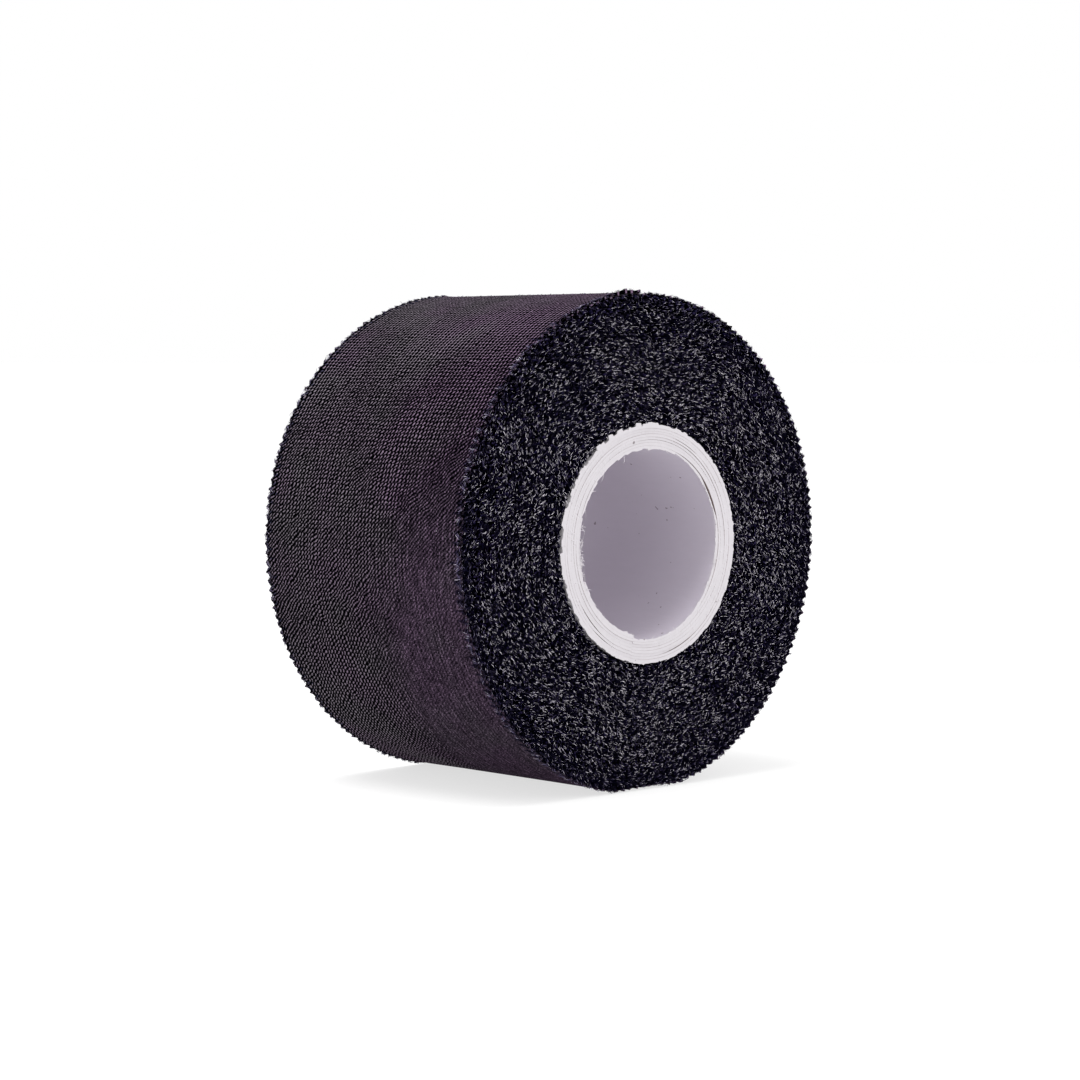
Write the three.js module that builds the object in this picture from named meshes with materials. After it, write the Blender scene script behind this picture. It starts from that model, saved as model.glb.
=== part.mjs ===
// A roll of cotton grip tape: one strip of adhesive cloth with pinked edges, wound on a paperboard core.
// Millimetres, +Z up. The core lies along Y and the origin is on the ground, under the middle of the roll.
// Seen from the front (looking along +Y) the strip is wound clockwise, so its free end points to +X,
// and the last stretch of it is a chain of short hinged pieces that peels off the roll.

import * as THREE from "three";

// Driving dimensions.
const ROLL_RADIUS = 32; // at the strip's free end
const TAPE_WIDTH = 38; // over the tips of the teeth
const TAPE_THICKNESS = 0.25; // cloth and adhesive together, so also the winding's pitch
const ADHESIVE_THICKNESS = 0.06;
const TOOTH_PITCH = 1.2;
const TOOTH_DEPTH = 0.6;
const BORE_RADIUS = 12.35;
const CORE_RADIUS = 15.4;
const CORE_LENGTH = 37.9;
const CORE_OFFSET_X = 0.6; // the core stands this far off the middle of the winding
const CORE_DROP = 0.12; // and this far below it
const PLY_COUNT = 8;
const GLUE_GAP = 0.03; // between two plies
const COAT_GAP = 0.01; // between the cloth and its adhesive coat
const LIFT_GAP = 0.03; // under the stretch of tape that peels
const CUT_GAP = 0.3; // between two pieces of that stretch
const REST_WIDTH = 8; // the soft roll stands on a flat as wide as this
const END_ANGLE = 91.5; // the free end, in degrees from +X towards +Z
const PEEL_PIECES = 6;
const TEETH_PER_PIECE = 10;

// Finenesses of the faceted curves.
const HALF_CIRCLE_FACETS = 30;
const WINDING_STEP = 2.5; // degrees

// What follows from them.
const DEGREE = Math.PI / 180;
const PIECE_LENGTH = TEETH_PER_PIECE * TOOTH_PITCH;
const PIECE_TURN = PIECE_LENGTH / (ROLL_RADIUS * DEGREE);
const PEEL_TURN = PEEL_PIECES * PIECE_TURN;
const REST_RADIUS = windingRadius(270 - END_ANGLE);
const CENTRE_HEIGHT = Math.sqrt(REST_RADIUS ** 2 - (REST_WIDTH / 2) ** 2);

const finishes = {
  cloth: new THREE.MeshStandardMaterial({ color: 0x2b2228, roughness: 0.92, metalness: 0 }),
  winding: new THREE.MeshStandardMaterial({ color: 0x17161c, roughness: 0.95, metalness: 0 }),
  adhesive: new THREE.MeshStandardMaterial({ color: 0x4a4648, roughness: 0.55, metalness: 0 }),
  paperboard: new THREE.MeshStandardMaterial({ color: 0xe0dadb, roughness: 0.8, metalness: 0 }),
  liner: new THREE.MeshStandardMaterial({ color: 0xb9b4bd, roughness: 0.6, metalness: 0 }),
};

// The strip's outer radius, a number of degrees back along it from the free end.
function windingRadius(turned) {
  return ROLL_RADIUS - (TAPE_THICKNESS * turned) / 360;
}

// A prism along Y, centred on the middle of the roll's width.
function prismAlongCore(outline, length) {
  const prism = new THREE.ExtrudeGeometry(outline, {
    depth: length,
    bevelEnabled: false,
    curveSegments: HALF_CIRCLE_FACETS,
  });
  return prism.translate(0, 0, -length / 2).rotateX(Math.PI / 2);
}

// One closed paper layer of the core. The first is the liner, whose inside is the bore.
function corePly(number) {
  const step = (CORE_RADIUS - BORE_RADIUS) / PLY_COUNT;
  const inner = BORE_RADIUS + (number - 1) * step;
  const outer = inner + step - GLUE_GAP;
  const outline = new THREE.Shape().absarc(0, 0, outer, 0, 2 * Math.PI);
  outline.holes.push(new THREE.Path().absarc(0, 0, inner, 0, 2 * Math.PI, true));
  const finish = number === 1 ? finishes.liner : finishes.paperboard;
  const ply = new THREE.Mesh(prismAlongCore(outline, CORE_LENGTH), finish);
  ply.name = number === 1 ? "core_liner_ply" : `core_ply_${number}`;
  ply.position.set(CORE_OFFSET_X, 0, CENTRE_HEIGHT - CORE_DROP);
  return ply;
}

// All the turns that stay on the core. The outline is the spiral of the outermost whole turn, with the
// step where the peeling stretch leaves it, and it is flat where the roll stands.
function woundTape() {
  const first = PEEL_TURN + CUT_GAP / 2 / (ROLL_RADIUS * DEGREE);
  const steps = Math.round(360 / WINDING_STEP);
  const points = Array.from({ length: steps + 1 }, (_, i) => {
    const turned = first + (i * 360) / steps;
    const angle = (END_ANGLE + turned) * DEGREE;
    const radius = windingRadius(turned);
    const height = Math.max(radius * Math.sin(angle), -CENTRE_HEIGHT);
    return new THREE.Vector2(radius * Math.cos(angle), height);
  });
  const outline = new THREE.Shape(points);
  const hole = new THREE.Path();
  hole.absarc(CORE_OFFSET_X, -CORE_DROP, CORE_RADIUS, 0, 2 * Math.PI, true);
  outline.holes.push(hole);
  const tape = new THREE.Mesh(prismAlongCore(outline, TAPE_WIDTH), finishes.winding);
  tape.name = "wound_tape";
  tape.position.z = CENTRE_HEIGHT;
  return tape;
}

// One short piece of the peeling stretch, bent to the winding's spiral. It lies between two depths
// below the strip's outer face, and depthOfTeeth pinks its two long edges.
function bentSheet(number, topDepth, bottomDepth, width, depthOfTeeth) {
  const steps = 2 * TEETH_PER_PIECE;
  const length = PIECE_LENGTH - CUT_GAP;
  const sheet = new THREE.BoxGeometry(length, width, bottomDepth - topDepth, steps, 1, 1);
  const middleTurn = (PEEL_PIECES - number + 0.5) * PIECE_TURN;
  const points = sheet.getAttribute("position");
  for (let i = 0; i < points.count; i += 1) {
    const inValley = Math.round((points.getX(i) / length + 0.5) * steps) % 2 === 0;
    const across = points.getY(i) - (inValley ? Math.sign(points.getY(i)) * depthOfTeeth : 0);
    const turned = middleTurn - points.getX(i) / (ROLL_RADIUS * DEGREE);
    const radius = windingRadius(turned) - (topDepth + bottomDepth) / 2 + points.getZ(i);
    const angle = (END_ANGLE + turned) * DEGREE;
    points.setXYZ(i, radius * Math.cos(angle), across, radius * Math.sin(angle));
  }
  return sheet;
}

function peelingCloth(number) {
  const depth = TAPE_THICKNESS - LIFT_GAP - ADHESIVE_THICKNESS - COAT_GAP;
  const cloth = new THREE.Mesh(
    bentSheet(number, 0, depth, TAPE_WIDTH, TOOTH_DEPTH),
    finishes.cloth,
  );
  cloth.name = `tape_end_cloth_${number}`;
  cloth.position.z = CENTRE_HEIGHT;
  return cloth;
}

// The adhesive coat stops at the bottom of the teeth.
function peelingAdhesive(number) {
  const bottom = TAPE_THICKNESS - LIFT_GAP;
  const width = TAPE_WIDTH - 2 * TOOTH_DEPTH;
  const coat = new THREE.Mesh(
    bentSheet(number, bottom - ADHESIVE_THICKNESS, bottom, width, 0),
    finishes.adhesive,
  );
  coat.name = `tape_end_adhesive_${number}`;
  coat.position.z = CENTRE_HEIGHT;
  return coat;
}

const roll = new THREE.Group();
for (let number = 1; number <= PLY_COUNT; number += 1) roll.add(corePly(number));
roll.add(woundTape());
for (let number = 1; number <= PEEL_PIECES; number += 1) {
  roll.add(peelingCloth(number), peelingAdhesive(number));
}

export default roll;
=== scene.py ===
"""The looks of a roll of cotton grip tape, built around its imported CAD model.

The strip is one spiral of pinked cloth. Places along it are given as lengths in millimetres back from its
free end, so every piece of it, wound or peeling, comes from the same few functions.
"""

import math

import bpy
import numpy as np
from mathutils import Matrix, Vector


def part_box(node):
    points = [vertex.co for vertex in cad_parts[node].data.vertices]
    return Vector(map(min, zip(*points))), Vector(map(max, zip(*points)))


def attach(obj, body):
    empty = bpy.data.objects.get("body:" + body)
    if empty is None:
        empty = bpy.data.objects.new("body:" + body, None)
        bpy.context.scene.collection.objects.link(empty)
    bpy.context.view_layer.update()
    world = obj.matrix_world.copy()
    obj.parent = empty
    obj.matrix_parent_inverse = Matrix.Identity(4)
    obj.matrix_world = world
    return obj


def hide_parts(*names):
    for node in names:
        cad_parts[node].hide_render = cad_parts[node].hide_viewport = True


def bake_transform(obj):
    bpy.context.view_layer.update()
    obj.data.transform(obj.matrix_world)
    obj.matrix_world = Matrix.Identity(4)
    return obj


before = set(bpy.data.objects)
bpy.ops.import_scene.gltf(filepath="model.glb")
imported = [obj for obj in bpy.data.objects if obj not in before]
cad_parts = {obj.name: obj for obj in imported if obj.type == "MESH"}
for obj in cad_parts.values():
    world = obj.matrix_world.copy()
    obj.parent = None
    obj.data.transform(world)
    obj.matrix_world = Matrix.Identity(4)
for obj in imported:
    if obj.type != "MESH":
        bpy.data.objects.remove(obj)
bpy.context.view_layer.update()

# Sizes are in millimetres and turn to metres when a mesh is made. Angles run from +X towards +Z.
MM = 0.001
TURN = 2 * math.pi


def middle_and_size(node):
    low, high = (np.array(corner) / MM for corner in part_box(node))
    return (low + high) / 2, high - low


PLIES = 8
PLY_GAP = 0.03  # what the CAD model leaves outside each ply
core_middle, core_size = middle_and_size(f"core_ply_{PLIES}")
_, winding_size = middle_and_size("wound_tape")
CORE_X, _, CORE_Z = core_middle
CORE_RADIUS = core_size[0] / 2 + PLY_GAP
CORE_LENGTH = core_size[1]
BORE_RADIUS = 12.35  # as in the CAD model
OVAL = 0.012  # how far the core has settled from round, wider than it is high
TAPE_WIDTH = winding_size[1]

ROLL_RADIUS = 32.0  # at the strip's free end
TAPE_PITCH = 0.25  # from one turn to the next
CLOTH_THICKNESS = 0.17
ADHESIVE_THICKNESS = 0.05
END_ANGLE = math.radians(91.5)  # where the free end lies
REST_WIDTH = 8.0  # of the flat that the soft roll stands on
TOOTH_PITCH = 1.2
TOOTH_DEPTH = 0.45
TEETH_PER_PIECE = 10
PIECES = 6  # of the stretch that peels
WARP_PITCH = 0.33  # of the yarns that run along the strip
WEFT_PITCH = 0.29  # of the yarns that run across it
COLUMNS = 4  # in each tooth: valley, flank, tip, flank
NOTCH = np.array([1.0, 0.5, 0.0, 0.5])  # how deep the notch is at each
TIP = 2  # the tip's place among them
YARN_SPACING = 0.22  # of the loose yarn ends along an edge

# How the edges of the turns have moved: how far, and over what width or how many turns it fades.
FLARE, FLARE_WIDTH, FLARE_TURNS = 0.26, 1.6, 5
RIM_RECESS, CORE_RECESS, RECESS_TURNS = 0.05, 0.30, 3
PRESSED, PRESSED_LENGTH = 0.55, 9.0  # how much shorter its loose ends are, and how far from the free end

REST_RADIUS = ROLL_RADIUS - TAPE_PITCH * (math.radians(270) - END_ANGLE) / TURN
AXIS_X, AXIS_Z = 0.0, math.sqrt(REST_RADIUS**2 - REST_WIDTH**2 / 4)
STRIP_LENGTH = math.pi * (ROLL_RADIUS**2 - (CORE_RADIUS + TAPE_PITCH) ** 2) / TAPE_PITCH
STRIP_TEETH = int(STRIP_LENGTH / TOOTH_PITCH)
OUTER_TURN_LENGTH = 198.0  # about that of the outermost turns
dice = np.random.default_rng(20)


# ---------------------------------------------------------------- the winding

def turned_at(length):
    """How far back round the roll a place on the strip lies, in radians."""
    square = ROLL_RADIUS**2 - TAPE_PITCH * np.asarray(length, float) / math.pi
    return (ROLL_RADIUS - np.sqrt(np.maximum(square, 0))) * TURN / TAPE_PITCH


def waves(x, *terms):
    """A sum of sines, each given by its size, its wavelength and its phase."""
    return sum(size * np.sin(TURN * x / wavelength + phase) for size, wavelength, phase in terms)


def place(length, depth, across):
    """Points of the strip: a length back from the free end, a depth below its outer face, and across its
    width. The turns share the core's middle near the core and the roll's middle near the rim."""
    turned = turned_at(length)
    angle = END_ANGLE + turned
    radius = ROLL_RADIUS - TAPE_PITCH * turned / TURN - depth
    inward = np.clip((ROLL_RADIUS - radius) / (ROLL_RADIUS - CORE_RADIUS), 0, 1)
    slack = 4 * inward * (1 - inward)
    radius = radius + slack * waves(angle / TURN, (0.10, 1 / 2, 1.0), (0.05, 1 / 3, 2.0), (0.03, 1 / 5, 0.4))
    # Where the roll stands the turns are pressed up, less and less towards the core.
    squeeze = np.maximum(0, -AXIS_Z - ROLL_RADIUS * np.sin(angle) + TAPE_PITCH / 2) * (1 - inward)
    oval = OVAL * inward
    x = AXIS_X + inward * (CORE_X - AXIS_X) + radius * np.cos(angle) * (1 + oval)
    z = AXIS_Z + inward * (CORE_Z - AXIS_Z) + radius * np.sin(angle) * (1 - oval) + squeeze
    turns = turned / TURN
    drift = waves(turns, (0.09, 7.3, 1.0), (0.06, 2.9, 0.3), (0.05, 1.31, 2.0)) * (1 - np.exp(-turns / 2))
    return np.stack(np.broadcast_arrays(x, across + drift, z), -1)


def clearance(length):
    """From none where the roll stands to all of it a little way off the ground."""
    height = 1 + np.sin(END_ANGLE + turned_at(length))  # above the ground, in roll radii
    return np.clip(height / 0.02, 0, 1)


def flare(length, across):
    """How far the edges of the outer turns splay out. They don't where the roll stands."""
    past = np.clip((np.abs(across) - TAPE_WIDTH / 2 + FLARE_WIDTH) / FLARE_WIDTH, 0, 1)
    return FLARE * past**2 * clearance(length) * np.exp(-turned_at(length) / TURN / FLARE_TURNS)


def recess(length):
    """How far the edges of the outermost and innermost turns stand back from the faces of the roll."""
    turns = turned_at(length) / TURN
    turns_left = turned_at(STRIP_LENGTH) / TURN - turns
    return RIM_RECESS * np.exp(-turns / RECESS_TURNS) + CORE_RECESS * np.exp(-turns_left / RECESS_TURNS)


def outward(length):
    """The direction out of the roll at a place on the strip."""
    angle = END_ANGLE + turned_at(length)
    return np.stack([np.cos(angle), np.zeros_like(angle), np.sin(angle)], -1)


def backward(length):
    """The direction along the strip, away from its free end."""
    angle = END_ANGLE + turned_at(length)
    return np.stack([-np.sin(angle), np.zeros_like(angle), np.cos(angle)], -1)


# ---------------------------------------------------------------- meshes

def make_object(name, points, faces, material, uv, smooth_below=40):
    """points in millimetres, faces as rows of three or four indices, uv one pair for each point."""
    mesh = bpy.data.meshes.new(name)
    faces = np.asarray(faces, np.int32)
    mesh.vertices.add(len(points))
    mesh.vertices.foreach_set("co", (np.asarray(points) * MM).astype(np.float32).ravel())
    mesh.loops.add(faces.size)
    mesh.loops.foreach_set("vertex_index", faces.ravel())
    mesh.polygons.add(len(faces))
    mesh.polygons.foreach_set("loop_start", np.arange(0, faces.size, faces.shape[1], dtype=np.int32))
    layer = mesh.uv_layers.new(name="Cloth")
    layer.data.foreach_set("uv", np.asarray(uv, np.float32)[faces.ravel()].ravel())
    mesh.update(calc_edges=True)
    mesh.polygons.foreach_set("use_smooth", np.ones(len(faces), bool))
    mesh.set_sharp_from_angle(angle=math.radians(smooth_below))
    mesh.materials.append(material)
    made = bpy.data.objects.new(name, mesh)
    bpy.context.scene.collection.objects.link(made)
    return made


def tube_faces(rows, columns):
    """Quads of an open tube of points numbered row by row, whose last row meets its first."""
    row = np.arange(rows)[:, None]
    column = np.arange(columns - 1)[None, :]
    next_row = (row + 1) % rows
    corners = [row * columns + column, row * columns + column + 1,
               next_row * columns + column + 1, next_row * columns + column]
    return np.stack(np.broadcast_arrays(*corners), -1).reshape(-1, 4)


def end_caps(rows, columns):
    """Quads that close the two ends of such a tube, across from its first rows to its last."""
    row = np.arange(rows // 2 - 1)
    caps = []
    for column, flip in ((0, False), (columns - 1, True)):
        corners = [r * columns + column for r in (row, row + 1, rows - 2 - row, rows - 1 - row)]
        caps.append(np.stack(corners[::-1] if flip else corners, -1))
    return caps


# ---------------------------------------------------------------- the pinked strip

EDGE_COLUMNS = STRIP_TEETH * COLUMNS + 1
edge_flutter = dice.normal(0, 0.08, (2, EDGE_COLUMNS))
edge_bite = dice.normal(0, 0.07, (2, EDGE_COLUMNS))
edge_slip = dice.normal(0, 0.05, (2, EDGE_COLUMNS))


def strip_outline(first_tooth, last_tooth, step):
    """The columns of a stretch of strip: their numbers, their lengths and how deep the notch is there."""
    columns = np.arange(first_tooth * COLUMNS, last_tooth * COLUMNS + 1, step)
    return columns, columns * TOOTH_PITCH / COLUMNS, NOTCH[columns % COLUMNS]


def no_lift(length, across):
    return 0 * length


def strip_piece(name, first_tooth, last_tooth, material, step=1, top=0.0, thickness=CLOTH_THICKNESS,
                inset=0.0, pinked=True, inner_rows=5, lift=no_lift, cut_roughness=0.0):
    """A stretch of strip as a closed thin solid. Each row runs from one end of it to the other. lift raises
    its outer face only, and cut_roughness moves the ends of its rows at the strip's free end."""
    columns, lengths, notch = strip_outline(first_tooth, last_tooth, step)
    half = TAPE_WIDTH / 2 - inset
    plain = half - TOOTH_DEPTH - 0.5
    rows = []
    for side, sign in ((0, -1), (1, 1)):
        bite = TOOTH_DEPTH * notch + edge_bite[side, columns] + recess(lengths) if pinked else 0 * lengths
        slip = edge_slip[side, columns] * (columns % COLUMNS == TIP) if pinked else 0
        bend = edge_flutter[side, columns] * (1 - notch) if pinked else 0
        rows.append((sign * (half - bite), lengths + slip, bend))
    rows[1:1] = [(np.full(len(columns), y), lengths, 0) for y in np.linspace(-plain, plain, inner_rows)]
    if cut_roughness:
        rows = [(y, s + cut_roughness * dice.normal() * (s < 0.1), bend) for y, s, bend in rows]
    sunk = [top - bend - lift(s + 0 * y, y) - flare(s, y) for y, s, bend in rows]
    faces_out = [place(s, depth, y) for (y, s, _), depth in zip(rows, sunk)]
    faces_in = [place(s, depth + thickness + lift(s + 0 * y, y), y) for (y, s, _), depth in zip(rows, sunk)]
    loop = faces_out + faces_in[::-1]
    points = np.concatenate(loop)
    count, width = len(loop), len(columns)
    faces = np.concatenate([tube_faces(count, width)] + end_caps(count, width))
    uv = [np.stack([s, y], -1) for y, s, _ in rows]
    uv = np.concatenate(uv + uv[::-1])
    return make_object(name, points, faces[:, ::-1], material, uv)


def strands(name, base, out, along, up, reach, rise, sway, wide, shade, material):
    """Thin pointed strands: each rises from its base and bends over along its own direction. Every input has
    one row for each strand: directions out, along and up, and in millimetres how far it reaches along, rises
    out and sways up. A strand is a three-sided tube of two rings and a tip."""
    count = len(base)
    side = np.cross(out + along * 0.5 * np.sign(reach)[:, None], up)
    side /= np.linalg.norm(side, axis=-1, keepdims=True)
    turn = np.arange(3) * TURN / 3 + dice.uniform(0, TURN, (count, 1))
    ring = np.cos(turn)[..., None] * side[:, None] + np.sin(turn)[..., None] * up[:, None]
    rings = []
    for t, size in ((0.0, 1.0), (0.55, 0.9), (1.0, 0.0)):
        height = rise * (1 - (1 - t) ** 2)
        aside = sway[:, 0] * t + sway[:, 1] * t * (1 - t) * 2
        middle = base + out * height[:, None] + along * (reach * t**1.3)[:, None] + up * aside[:, None]
        rings.append(middle[:, None] + ring * (wide * size)[:, None, None])
    points = np.concatenate(rings[:2] + [rings[2][:, :1]], 1).reshape(-1, 3)
    tip = 6
    one = [(2, 1, 0)]
    for i, j in ((0, 1), (1, 2), (2, 0)):
        one += [(i, j, 3 + j), (i, 3 + j, 3 + i), (3 + i, 3 + j, tip)]
    faces = (np.array(one)[None] + (tip + 1) * np.arange(count)[:, None, None]).reshape(-1, 3)
    towards_tip = np.tile([0, 0, 0, 0.55, 0.55, 0.55, 1], count)
    uv = np.stack([np.repeat(shade, tip + 1), towards_tip], -1)
    return make_object(name, points, faces, material, uv, smooth_below=80)


def pressed(length):
    """Loose ends are shorter near the free end, where fingers have pressed it down."""
    return 1 - PRESSED * np.exp(-((length / PRESSED_LENGTH) ** 2))


def cut_yarns(first_tooth, last_tooth, side):
    """The ends of the cut yarns along one pinked edge. Near the rim they are thicker, shorter and duller."""
    first, last = first_tooth * TOOTH_PITCH, last_tooth * TOOTH_PITCH
    count = int((last - first) / YARN_SPACING)
    lengths = dice.uniform(first, last, count)
    sign = (-1, 1)[side]
    notch = np.abs((lengths / TOOTH_PITCH) % 1 - 0.5) * 2
    cut = TAPE_WIDTH / 2 - TOOTH_DEPTH * notch - recess(lengths)
    turns = turned_at(lengths) / TURN
    rim = np.exp(-turns / 4)
    depth = dice.uniform(0, CLOTH_THICKNESS, count) - flare(lengths, cut) - end_lift(lengths, sign * cut)
    shade = dice.random(count) * (1 - 0.45 * np.exp(-turns / 9)) + 0.08 * rim
    lean = waves(turns, (0.4, 1 / 5, 0.3), (0.3, 1 / 9, 1.7), (0.4, 9.3, 0.5))
    base = place(lengths, depth, sign * (cut - 0.10))
    outwards, backwards = outward(lengths), backward(lengths)
    out = np.tile([0.0, sign, 0.0], (count, 1))
    along = backwards * np.cos(lean)[:, None] + outwards * np.sin(lean)[:, None]
    up = outwards * np.cos(lean)[:, None] - backwards * np.sin(lean)[:, None]
    reach = dice.uniform(0.18, 0.62, count) * dice.choice((-1, 1), count) * pressed(lengths)
    rise = dice.uniform(0.10, 0.36, count) * (1 - 0.45 * rim)
    sway = dice.normal(0, 0.13, (count, 2))
    wide = dice.uniform(0.014, 0.030, count) * (1 + 0.5 * rim)
    return base, out, along, up, reach, rise, sway, wide, shade


def rim_tufts(first_tooth, last_tooth, side):
    """Tufts of loose fibres on the teeth of the outermost turn, each combed its own way over the cloth."""
    outermost = int(TURN * ROLL_RADIUS / TOOTH_PITCH)
    fibres = 9  # in each tuft
    teeth = np.arange(first_tooth, max(first_tooth, min(last_tooth, outermost)))
    teeth = teeth[dice.random(len(teeth)) < 0.85]
    comb = np.repeat(dice.normal(0, 0.7, len(teeth)), fibres)
    lengths = np.repeat((teeth + 0.5) * TOOTH_PITCH, fibres)
    count = len(lengths)
    lengths = lengths + dice.normal(0, 0.17, count)
    sign = (-1, 1)[side]
    across = sign * (TAPE_WIDTH / 2 - 0.08 - dice.uniform(0, 0.4, count))
    depth = -0.01 - flare(lengths, across) - end_lift(lengths, across)
    comb = (comb + dice.normal(0, 0.35, count))[:, None]
    out = outward(lengths)
    along = np.array([0.0, -sign, 0.0]) * np.cos(comb) + backward(lengths) * np.sin(comb)
    reach = dice.uniform(0.3, 1.0, count) * pressed(lengths)
    rise = dice.uniform(0.02, 0.21, count) * clearance(lengths) * pressed(lengths)
    sway = dice.normal(0, 0.13, (count, 2))
    wide = dice.uniform(0.02, 0.04, count)
    shade = dice.uniform(0.1, 0.66, count)
    return place(lengths, depth, across), out, along, np.cross(out, along), reach, rise, sway, wide, shade


def fuzz(name, first_tooth, last_tooth, side, material):
    """All the loose ends along one edge of a stretch of strip."""
    rows = zip(cut_yarns(first_tooth, last_tooth, side), rim_tufts(first_tooth, last_tooth, side))
    return strands(name, *(np.concatenate(pair) for pair in rows), material)


def end_fuzz(name, material):
    """The ends of the warp yarns along the strip's cut end, four fibres to a yarn."""
    reach_across = TAPE_WIDTH / 2 - 0.6
    across = np.repeat(np.arange(-reach_across, reach_across, WARP_PITCH), 4)
    count = len(across)
    across = across + dice.normal(0, 0.08, count)
    lengths = dice.uniform(0, 0.2, count)
    depth = dice.uniform(0, CLOTH_THICKNESS, count) - end_lift(lengths, across)
    base = place(lengths, depth, across)
    ahead, sideways = -backward(lengths), np.tile([0.0, 1.0, 0.0], (count, 1))
    reach = dice.normal(0, 0.2, count)
    rise = dice.uniform(0.05, 0.38, count)
    sway = dice.normal(0, 0.07, (count, 2))
    wide = dice.uniform(0.025, 0.05, count)
    shade = dice.random(count) * 0.7
    return strands(name, base, ahead, sideways, outward(lengths), reach, rise, sway, wide, shade, material)


def end_lift(lengths, across):
    """The free end isn't stuck down fully, and its front corner is puckered."""
    corner = np.clip((-across - 13) / 6, 0, 1) ** 2
    past_crest = lengths - 2.9
    slope = np.where(past_crest < 0, 1.6, 3.2)
    hump = np.exp(-((past_crest / slope) ** 2))
    return 0.03 * np.exp(-lengths / 3) + 0.40 * corner * hump


# ---------------------------------------------------------------- materials

def linear(red, green, blue):
    """A colour from 0 to 255 as the eye sees it, as the linear colour that a shader takes."""
    steps = [c / 255 for c in (red, green, blue)]
    return tuple(c / 12.92 if c <= 0.04045 else ((c + 0.055) / 1.055) ** 2.4 for c in steps) + (1.0,)


def grey(value):
    return (value, value, value, 1.0)


class Nodes:
    """A material's node tree, with short calls for the nodes that are used most."""

    def __init__(self, name, roughness, gloss=0.04):
        self.material = bpy.data.materials.new(name)
        self.material.use_nodes = True
        self.tree = self.material.node_tree
        self.shader = self.tree.nodes["Principled BSDF"]
        self.shader.inputs["Roughness"].default_value = roughness
        self.shader.inputs["Specular IOR Level"].default_value = gloss

    def node(self, kind, **inputs):
        made = self.tree.nodes.new("ShaderNode" + kind)
        for key, value in inputs.items():
            self.feed(made, key.replace("_", " "), value)
        return made

    def feed(self, node, key, value):
        socket = node.inputs[key] if not key.isdigit() else node.inputs[int(key)]
        if isinstance(value, bpy.types.NodeSocket):
            self.tree.links.new(value, socket)
        else:
            socket.default_value = value

    def math(self, operation, a, b=0.0, c=0.0):
        made = self.tree.nodes.new("ShaderNodeMath")
        made.operation = operation
        for i, value in enumerate((a, b, c)):
            self.feed(made, str(i), value)
        return made.outputs[0]

    def cloth_uv(self):
        """The places that make_object was given, and their two parts."""
        uv = self.node("UVMap")
        uv.uv_map = "Cloth"
        split = self.node("SeparateXYZ", Vector=uv.outputs[0])
        return uv.outputs[0], split.outputs[0], split.outputs[1]

    def share_between(self, value, low, high, smooth=False):
        """From 0 where the value is low to 1 where it is high."""
        made = self.node("MapRange", Value=value)
        made.interpolation_type = "SMOOTHSTEP" if smooth else "LINEAR"
        made.inputs["From Min"].default_value = low
        made.inputs["From Max"].default_value = high
        return made.outputs[0]

    def noise(self, vector, scale, detail=2.0, stretch=(1, 1, 1)):
        mapped = self.node("Mapping", Vector=vector, Scale=stretch)
        made = self.node("TexNoise", Vector=mapped.outputs[0], Scale=scale, Detail=detail)
        return made.outputs["Fac"]

    def ramp(self, value, *stops):
        """A colour ramp through (position, colour) stops."""
        made = self.node("ValToRGB", Fac=value)
        ramp = made.color_ramp
        while len(ramp.elements) < len(stops):
            ramp.elements.new(0.5)
        for element, (position, colour) in zip(ramp.elements, stops):
            element.position = position
            element.color = colour
        return made.outputs[0]

    def mix(self, share, a, b, blend="MIX"):
        made = self.tree.nodes.new("ShaderNodeMix")
        made.data_type = "RGBA"
        made.blend_type = blend
        for name, value in (("Factor", share), ("A", a), ("B", b)):
            socket = [s for s in made.inputs if s.name == name and s.enabled][0]
            if isinstance(value, bpy.types.NodeSocket):
                self.tree.links.new(value, socket)
            else:
                socket.default_value = value
        return [s for s in made.outputs if s.enabled][0]

    def finish(self, colour, height=None, distance=0.05, strength=1.0):
        self.feed(self.shader, "Base Color", colour)
        if height is not None:
            bump = self.node("Bump", Height=height, Distance=distance * MM, Strength=strength)
            self.tree.links.new(bump.outputs["Normal"], self.shader.inputs["Normal"])
        return self.material


def weave_height(n, spot, length, across, half_turns):
    """Plain weave: crowns that lean one way and run into ribs in places, more of them at the top and bottom
    of the roll than at its sides.
    """
    wobble = n.noise(spot, 0.5, 2.0)
    along_yarns = n.math("MULTIPLY_ADD", wobble, 0.8, length)
    across_yarns = n.math("MULTIPLY_ADD", wobble, -0.6, across)
    a = n.math("MULTIPLY", along_yarns, math.pi / WEFT_PITCH)
    b = n.math("MULTIPLY", across_yarns, math.pi / WARP_PITCH)
    crowns = n.math("MULTIPLY", n.math("SINE", a), n.math("SINE", b))
    slant = n.math("MULTIPLY", n.math("COSINE", a), n.math("COSINE", b))
    rib = n.math("COSINE", n.math("ADD", b, 0.6))
    rib_share = n.math("MULTIPLY_ADD", n.noise(spot, 0.08, 2.0), 1.8, -0.15)
    rib_share = n.math("MULTIPLY_ADD", half_turns, 0.45, rib_share)
    weave = n.math("MULTIPLY_ADD", slant, 0.6, crowns)
    return n.math("MULTIPLY_ADD", rib, rib_share, weave)


def rim_darkness(n, spot, length, across, grain):
    """The edges are darker and bluer, as painted shade in tufts and between the teeth."""
    edge = n.math("MULTIPLY_ADD", n.noise(spot, 0.8, 2.0), 3.4, n.math("ABSOLUTE", across))
    edge = n.math("MULTIPLY_ADD", grain, 1.0, edge)
    # Painted shade between the teeth.
    teeth = n.math("COSINE", n.math("MULTIPLY", length, TURN / TOOTH_PITCH))
    edge = n.math("MULTIPLY_ADD", teeth, 0.9, edge)
    return n.share_between(edge, TAPE_WIDTH / 2 + 1.3, TAPE_WIDTH / 2 + 1.8)


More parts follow.
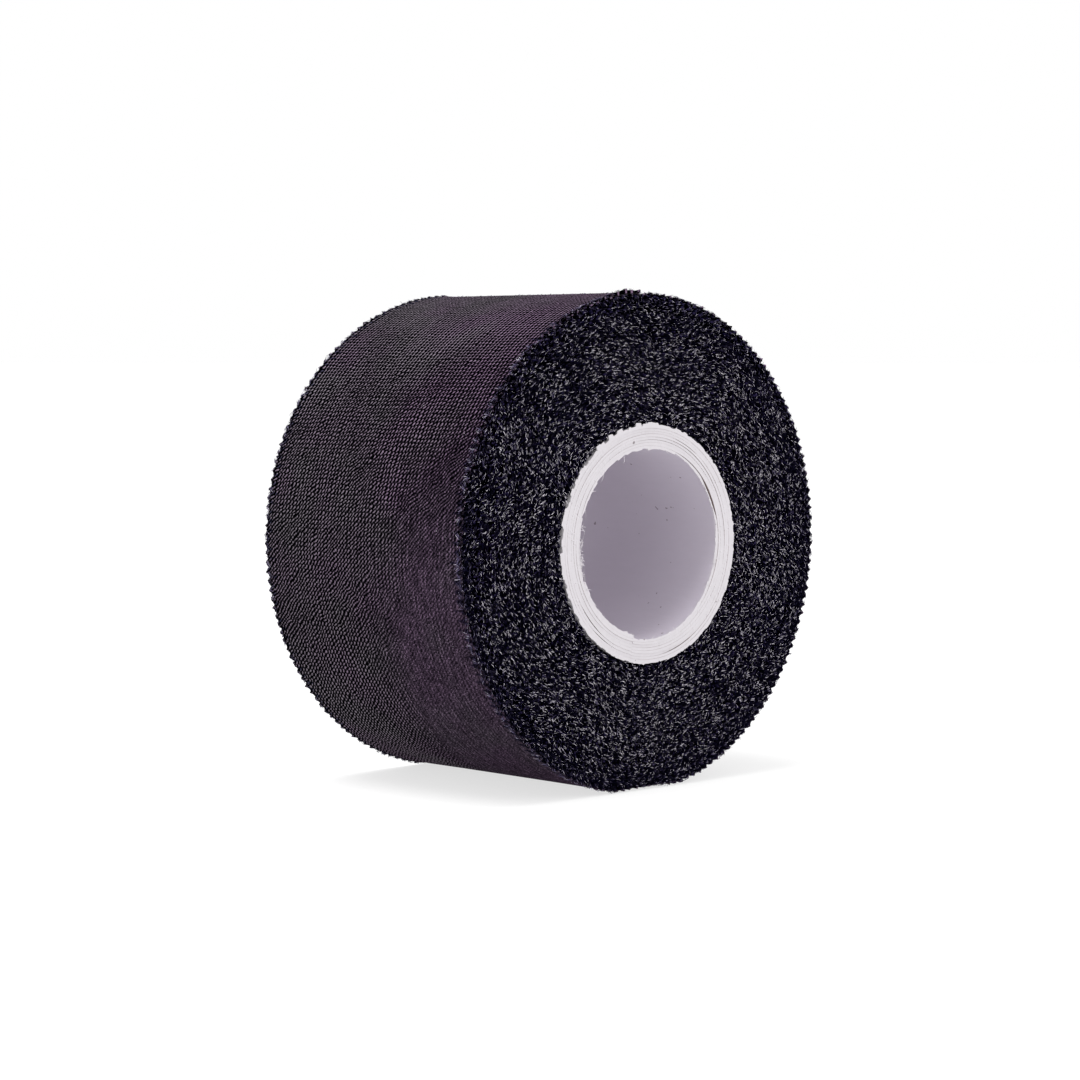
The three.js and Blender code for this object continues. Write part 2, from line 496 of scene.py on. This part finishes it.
def cloth_material(name, *tones):
    """Woven cloth with uneven yarns, slow stains, a few light specks, and darker edges with painted shade in
    tufts and between the teeth. Towards the front edge it is smoother and more purple, least of all at the
    top of the roll, and the top and the back are darker as painted shade. The four tones go from the gaps
    between the yarns to their
    crowns: painted shade in the gaps, a painted highlight on the crowns."""
    n = Nodes(name, 0.92, gloss=0.0)
    spot, length, across = n.cloth_uv()
    half_turns = n.math("COSINE", n.math("MULTIPLY", length, 2 * TURN / OUTER_TURN_LENGTH))
    top = n.math("COSINE", n.math("MULTIPLY", length, TURN / OUTER_TURN_LENGTH))  # 1 there, -1 at the bottom
    weave = weave_height(n, spot, length, across, half_turns)
    blots = n.noise(spot, 1.3, 3.0)
    grain = n.noise(spot, 5.0, 2.0)
    warps = n.noise(spot, 2.6, 2.0, stretch=(0.12, 1.0, 1))

    from_front = n.math("MULTIPLY_ADD", top, 4.5, n.math("MULTIPLY_ADD", blots, 5.0, across))
    front = n.share_between(from_front, 9.0, 8.0 - TAPE_WIDTH / 2, smooth=True)
    calm = n.math("MULTIPLY", front, n.math("MULTIPLY_ADD", top, -0.75, 0.95))
    calm = n.math("MINIMUM", calm, 1.0)
    # Painted shade: the weave's contrast is stronger on top, where the light falls square on and its bumps
    # show little shade.
    contrast = n.math("MULTIPLY_ADD", top, 0.12, n.math("MULTIPLY_ADD", calm, -0.47, 0.60))
    detail = n.math("MULTIPLY", weave, contrast)
    grain_share = n.math("MULTIPLY_ADD", front, -0.55, 1.6)
    for share, part in ((0.45, warps), (0.35, blots), (grain_share, grain)):
        detail = n.math("MULTIPLY_ADD", n.math("SUBTRACT", part, 0.5), share, detail)
    # Painted shade: darker away from the front edge, where the light from above and behind falls most.
    level = n.math("ADD", detail, n.math("MULTIPLY_ADD", calm, 0.21, 0.405))
    # Painted shade: darker on top, where the most light falls.
    level = n.math("MULTIPLY_ADD", n.math("MAXIMUM", top, -0.1), -0.24, level)

    colour = n.ramp(level, *zip((0.36, 0.56, 0.75, 0.97), tones))
    stains = n.math("MULTIPLY_ADD", front, 0.30, n.noise(spot, 0.10, 3.0))
    greenish, purple = (0.95, 1.07, 0.99, 1), (1.06, 0.92, 1.12, 1)
    colour = n.mix(1.0, colour, n.ramp(stains, (0.40, greenish), (0.85, purple)), "MULTIPLY")
    specks = n.share_between(n.noise(spot, 2.9, 1.0), 0.765, 0.80)
    colour = n.mix(specks, colour, linear(140, 136, 142))
    # Painted shade at the edges: darker and bluer.
    dark = n.mix(1.0, colour, (0.26, 0.29, 0.40, 1), "MULTIPLY")
    colour = n.mix(rim_darkness(n, spot, length, across, grain), colour, dark)
    return n.finish(colour, level, distance=0.10, strength=0.7)


def yarn_material(name, dark, mid, painted_highlight):
    """Cut yarn ends. Most are nearly black and some carry a painted highlight, brightest at their tips, with
    painted shade towards their bases.
    """
    n = Nodes(name, 0.7, gloss=0.1)
    _, shade, tip = n.cloth_uv()
    shade = n.math("POWER", shade, 2.6)
    # Painted shade towards each strand's base, painted light towards its tip.
    up = n.math("MULTIPLY_ADD", tip, 0.6, 0.4)
    spot = n.node("TexCoord").outputs["Object"]
    fibres = n.noise(spot, 6000, 2.0)
    patches = n.noise(spot, 260, 2.0)
    level = n.math("MULTIPLY", n.math("MULTIPLY", shade, up), n.math("MULTIPLY_ADD", fibres, 1.0, 0.5))
    level = n.math("MULTIPLY", level, n.math("MULTIPLY_ADD", patches, 2.4, 0.5))
    return n.finish(n.ramp(level, (0.0, dark), (0.22, mid), (0.66, painted_highlight)))


def paper_material(name, light, shade, bore_light=None, bore_shade=None):
    """Paper: faint fibres, soft clouding, a few flecks, brown glue with painted shade between the plies and,
    where bore tones are given, painted shade in the bore. The first UV value tells how far a place is into a
    gap between two plies, and the second whether it is in the bore."""
    n = Nodes(name, 0.75)
    _, in_gap, in_bore = n.cloth_uv()
    spot = n.node("TexCoord").outputs["Object"]
    clouds = n.noise(spot, 180, 4.0)
    fibres = n.noise(spot, 1400, 5.0, stretch=(1, 0.25, 1))
    fibre_share = n.math("MULTIPLY_ADD", fibres, 0.7, -0.1)
    tone = n.mix(fibre_share, shade, light)
    if bore_light:
        # Painted shade: the bore's paper gets darker tones than its end face.
        tone = n.mix(in_bore, tone, n.mix(fibre_share, bore_shade, bore_light))
    tone = n.mix(n.math("MULTIPLY", clouds, 0.07), tone, (0.25, 0.22, 0.25, 1))
    flecks = n.share_between(n.noise(spot, 1200, 1.0), 0.765, 0.785)
    tone = n.mix(n.math("MULTIPLY", flecks, 0.7), tone, linear(104, 92, 96))
    # Brown glue, with painted shade, in the gaps between plies.
    brown = linear(112, 80, 66)
    tone = n.mix(in_gap, tone, brown)
    return n.finish(tone, fibres, distance=0.04, strength=0.6)


def adhesive_material():
    """Adhesive spread in streaks along the strip, with fine pits."""
    n = Nodes("adhesive", 0.45)
    spot, _, _ = n.cloth_uv()
    spread = n.noise(spot, 1.6, 4.0, stretch=(0.3, 1.4, 1))
    pits = n.noise(spot, 6.0, 3.0)
    colour = n.ramp(spread, (0.3, linear(62, 58, 60)), (0.7, linear(96, 91, 92)))
    return n.finish(colour, pits, distance=0.05, strength=0.6)


cloth = cloth_material("cloth", linear(1, 1, 2), linear(31, 26, 32),
                       linear(62, 54, 62), linear(118, 104, 117))
# Blue-black cloth for the wound turns, darker still as painted shade, since only their edges show deep in the
# end faces.
shaded_wound_cloth = cloth_material("shaded_wound_cloth", linear(1, 1, 3), linear(9, 8, 16),
                             linear(17, 16, 30), linear(38, 35, 58))
# The last tone is a painted highlight.
yarn = yarn_material("yarn", linear(4, 4, 12), linear(93, 85, 119), linear(252, 246, 255))
adhesive = adhesive_material()
paper_tones = linear(215, 211, 216), linear(204, 200, 204)
# Painted shade: darker tones for the paper in the bore.
shaded_bore_tones = linear(201, 194, 205), linear(194, 187, 198)
paper = paper_material("paper", *paper_tones)
liner_paper = paper_material("liner_paper", *paper_tones, *shaded_bore_tones)


# ---------------------------------------------------------------- the tape

def settle(piece, body, slot, *nodes):
    """Hides the CAD nodes that the piece stands for and attaches it to its body, if it is given one. The slot
    is not used.
    """
    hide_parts(*nodes)
    if body:
        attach(piece, body)


# Where one piece of the strip ends and the next begins, in teeth from the free end.
HALF_PIECE = TEETH_PER_PIECE // 2
PEEL_END = PIECES * TEETH_PER_PIECE + HALF_PIECE
OUTER_PARTS = 3
TEETH_PER_PART = 56
OUTER_END = PEEL_END + OUTER_PARTS * TEETH_PER_PART
WOUND_END = STRIP_TEETH - 2
WOUND_SPLIT = OUTER_END + (STRIP_TEETH - OUTER_END) * 11 // 20

for part in range(OUTER_PARTS):
    first = PEEL_END + part * TEETH_PER_PART
    last = first + TEETH_PER_PART
    piece = strip_piece(f"outer_turn_{part + 1}", first, last, cloth)
    settle(piece, "roll", "cloth", "wound_tape")

# The turns below have fewer rows, as only their edges show, and no gap that lets light through.
for label, first, last in (("middle", OUTER_END, WOUND_SPLIT), ("inner", WOUND_SPLIT, WOUND_END)):
    piece = strip_piece(f"{label}_turns", first, last, shaded_wound_cloth, step=2, thickness=0.2, inner_rows=2)
    settle(piece, "roll", "winding", "wound_tape")

FRAY_ENDS = [PEEL_END + (WOUND_END - PEEL_END) * part // 3 for part in range(4)]
for side, face in ((0, "front"), (1, "back")):
    for label, first, last in zip(("outer", "middle", "inner"), FRAY_ENDS, FRAY_ENDS[1:]):
        fray = fuzz(f"{face}_yarn_ends_{label}", first, last, side, yarn)
        settle(fray, "roll", "winding")


def peel_point(teeth):
    """A place in the middle of the strip, in metres."""
    return [float(v) * MM for v in place(np.array([teeth * TOOTH_PITCH]), 0.1, 0.0)[0]]


for number in range(1, PIECES + 1):
    at_end = number == PIECES
    hinge = (PIECES - number + 1) * TEETH_PER_PIECE
    first = 0 if at_end else hinge - HALF_PIECE
    last = hinge + HALF_PIECE
    cut = {"inner_rows": 60, "cut_roughness": 0.12} if at_end else {}
    flap = strip_piece(f"peeling_cloth_{number}", first, last, cloth, lift=end_lift if at_end else no_lift,
                       **cut)
    coat = strip_piece(f"peeling_adhesive_{number}", first, last, adhesive, top=CLOTH_THICKNESS + 0.005,
                       thickness=ADHESIVE_THICKNESS, inset=TOOTH_DEPTH + 0.1, pinked=False, **cut)
    settle(flap, None, "cloth", f"tape_end_cloth_{number}")
    settle(coat, None, "adhesive", f"tape_end_adhesive_{number}")
    frays = [fuzz(f"{face}_yarn_ends_peeling_{number}", first, last, side, yarn)
             for side, face in ((0, "front"), (1, "back"))]
    if at_end:
        frays.append(end_fuzz("yarn_ends_at_cut", yarn))
    start, end = peel_point(hinge + HALF_PIECE), peel_point(hinge - HALF_PIECE)
    for piece in (flap, coat, *frays):
        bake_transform(piece)


# ---------------------------------------------------------------- the core

SEAM = math.radians(256)  # where the paper's inner end shows in the bore
CRACKS = (  # which ply has come loose from the next one, at what angle, over how wide an angle, how far
    (1, 28, 12, 0.25),
    (1, 53, 14, 0.06),
    (1, 150, 12, 0.05),
    (1, 196, 16, 0.04),
    (5, 222, 9, 0.07),
    (6, 233, 6, 0.06),
    (6, 292, 10, 0.07),
    (5, 64, 9, 0.06),
    (3, 62, 36, 0.03),
    (4, 45, 22, 0.035),
    (5, 48, 26, 0.03),
    (2, 52, 16, 0.03),
)


def ply_boundary(number, angle):
    """The radius between two plies. The paper is wound, so each ply steps out at one seam, and the step
    fades to nothing where the tape begins. The bore is a little off the core's middle."""
    thickness = (CORE_RADIUS - BORE_RADIUS) / PLIES
    share = ((angle - SEAM) % TURN) / TURN
    fade = 1 - number / PLIES
    wander = 0.04 * fade * waves(angle / TURN, (1, 1 / 3, number), (0.6, 1 / 7, 2 * number))
    lean = 0.25 * fade * np.cos(angle - math.radians(145))
    return BORE_RADIUS + number * thickness + thickness * fade * (0.35 - share) + wander + lean


def crack_width(number, angle):
    """How far a ply stands off the next one."""
    width = 0.002  # where they are glued
    for ply, middle, spread, opening in CRACKS:
        if ply == number:
            off = (np.degrees(angle) - middle + 180) % 360 - 180
            width = width + opening * np.exp(-((off / spread) ** 4))
    return width


def ragged(count, smallest, largest):
    """Torn paper: a jagged line with a few deeper nicks."""
    line = dice.uniform(-1, 1, count) * smallest
    nicks = dice.random(count) < 0.08
    return line + nicks * dice.uniform(-1, 1, count) * largest


def torn(count, largest, longest):
    """Paper torn in short steps, each as long as one to longest places."""
    line = np.zeros(count)
    at = 0
    while at < count:
        run = int(dice.integers(1, longest + 1))
        height = dice.uniform(-0.3, 1) * largest
        slope = dice.normal(0, 0.012)
        line[at:at + run] = height + slope * np.arange(run)[:count - at]
        at += run
    return line


def add_core_ply(number):
    """One turn of paper, as a closed solid with a fine seam. Its profile goes over the back end, along the
    outside, over the torn front end and back along the inside."""
    steps = 720
    slit = 0.00001  # each side of the seam, in radians
    angle = SEAM + slit + np.arange(steps + 1) * (TURN - 2 * slit) / steps
    inner = ply_boundary(number - 1, angle)
    outer = ply_boundary(number, angle) - crack_width(number, angle)
    bevel = 0.012
    phase = number * 1.7
    short_by = []  # how far each end stands back, front and back
    for shift in (0, 2.1):
        wave = waves(angle / TURN, (0.03, 1 / 2, phase + shift), (0.012, 1 / 5, phase * 2 + shift))
        short_by.append(wave + ragged(steps + 1, 0.008, 0.05) + 0.02 * math.sin(phase * 5 + shift))
    front, back = short_by[0] - CORE_LENGTH / 2, CORE_LENGTH / 2 - short_by[1]
    outside = inside = 0  # how far torn paper stands out at the front
    if number == PLIES:
        upper_left = np.exp(-(((np.degrees(angle) - 140 + 180) % 360 - 180) / 65) ** 4)
        outside = 0.1 + torn(steps + 1, 0.45, 7) * (0.3 + 0.7 * upper_left) + ragged(steps + 1, 0.02, 0.12)
    if number == 1:
        inside = -torn(steps + 1, 0.10, 12) + ragged(steps + 1, 0.012, 0.06)
    gap, bore = (0, 1) if number == 1 else (1, 0)
    # How much brown glue, with painted shade, the outer wall gets; none on the outermost ply.
    glue_and_shade = 0 if number == PLIES else 1
    profile = [  # radius, place along the core, how far into a gap, how far into the bore
        (inner, back - 0.5, gap, bore), (inner, back - bevel, gap, bore), (inner + bevel, back, 0, 0),
        (outer - bevel, back, 0, 0), (outer, back - bevel, glue_and_shade, 0), (outer, front + 0.5, glue_and_shade, 0),
        (outer + outside, front + bevel, 0.5 * glue_and_shade, 0), (outer - bevel + outside, front, 0, 0),
        (inner + bevel + inside, front, 0, 0), (inner + inside, front + bevel, 0.5 * gap, 0.3 * bore),
        (inner, front + 0.4, gap, bore), (inner, front + 0.8, gap, bore)]
    points, uv = [], []
    for radius, y, in_gap, in_bore in profile:
        x = CORE_X + radius * np.cos(angle) * (1 + OVAL)
        z = CORE_Z + radius * np.sin(angle) * (1 - OVAL)
        points.append(np.stack(np.broadcast_arrays(x, y, z), -1))
        uv.append(np.full((steps + 1, 2), (in_gap, in_bore)))
    count, width = len(profile), steps + 1
    faces = np.concatenate([tube_faces(count, width)] + end_caps(count, width))
    points, uv = np.concatenate(points), np.concatenate(uv)
    if number == 1:
        ply = make_object("liner_ply", points, faces[:, ::-1], liner_paper, uv, smooth_below=30)
        settle(ply, "roll", "liner", "core_liner_ply")
    else:
        ply = make_object(f"paper_ply_{number}", points, faces[:, ::-1], paper, uv, smooth_below=30)
        settle(ply, "roll", "paperboard", f"core_ply_{number}")


def paper_fibres():
    """Fine paper fibres at the bore's front edge, most of them on one side."""
    angle = np.radians(np.concatenate([dice.normal(182, 9, 40), dice.uniform(0, 360, 24)]))
    count = len(angle)
    radial = np.stack([np.cos(angle) * (1 + OVAL), 0 * angle, np.sin(angle) * (1 - OVAL)], -1)
    around = np.stack([-np.sin(angle), 0 * angle, np.cos(angle)], -1)
    base = radial * (BORE_RADIUS + 0.1) + (CORE_X, -CORE_LENGTH / 2 + 0.02, CORE_Z)
    front = np.tile([0.0, -1.0, 0.0], (count, 1))
    reach = dice.normal(0, 0.7, count)
    rise = dice.uniform(0.25, 0.8, count)
    sway = dice.normal(0, 0.08, (count, 2))
    wide = dice.uniform(0.03, 0.05, count)
    shade = np.zeros(count)
    return strands("paper_fibres", base, -radial, around, front, reach, rise, sway, wide, shade, paper)


for number in range(1, PLIES + 1):
    add_core_ply(number)
settle(paper_fibres(), "roll", "liner", "core_liner_ply")


# ---------------------------------------------------------------- stage

def add_floor():
    """A wide floor just under the roll. It glows a little, so that it is as white as the photo's."""
    reach, drop = 60.0, 0.0001  # metres
    corners = [(-reach, -reach, -drop), (reach, -reach, -drop), (reach, reach, -drop), (-reach, reach, -drop)]
    mesh = bpy.data.meshes.new("floor")
    mesh.from_pydata(corners, [], [(0, 1, 2, 3)])
    n = Nodes("floor", 0.9)
    n.feed(n.shader, "Base Color", grey(0.32))
    n.feed(n.shader, "Emission Color", grey(1.0))
    n.feed(n.shader, "Emission Strength", 0.68)
    mesh.materials.append(n.material)
    floor = bpy.data.objects.new("floor", mesh)
    bpy.context.scene.collection.objects.link(floor)


def add_light(name, position, size, power):
    """A square lamp aimed at the roll. Its place and size are in metres."""
    data = bpy.data.lights.new(name, "AREA")
    data.size = size
    data.energy = power
    lamp = bpy.data.objects.new(name, data)
    bpy.context.scene.collection.objects.link(lamp)
    lamp.location = position
    target = Vector((0, 0, AXIS_Z * MM))
    lamp.rotation_euler = (target - lamp.location).to_track_quat("-Z", "Y").to_euler()


def add_camera():
    """The photograph's view, from its own distance in millimetres and aimed a little off the roll's axis."""
    azimuth, elevation, distance = math.radians(-43.465), math.radians(3.541), 383.19
    back = Vector((math.sin(azimuth) * math.cos(elevation), -math.cos(azimuth) * math.cos(elevation),
                      math.sin(elevation)))
    data = bpy.data.cameras.new("camera")
    data.lens = 96.25
    data.sensor_width = 36.0
    camera = bpy.data.objects.new("camera", data)
    bpy.context.scene.collection.objects.link(camera)
    rotation = (-back).to_track_quat("-Z", "Y")
    aside = rotation @ Vector((-0.66, -0.42, 0))
    camera.location = (back * distance + aside + Vector((AXIS_X, 0, AXIS_Z))) * MM
    camera.rotation_euler = rotation.to_euler()
    bpy.context.scene.camera = camera


add_floor()
add_camera()
add_light("key", (-0.20, 0.10, 0.9), 0.6, 9)
add_light("fill", (0.05, -0.9, 0.55), 0.6, 1.5)

world = bpy.data.worlds.new("studio")
world.use_nodes = True
background = world.node_tree.nodes["Background"]
background.inputs["Color"].default_value = grey(1.0)
background.inputs["Strength"].default_value = 1.0
bpy.context.scene.world = world
bpy.context.scene.view_settings.view_transform = "Standard"
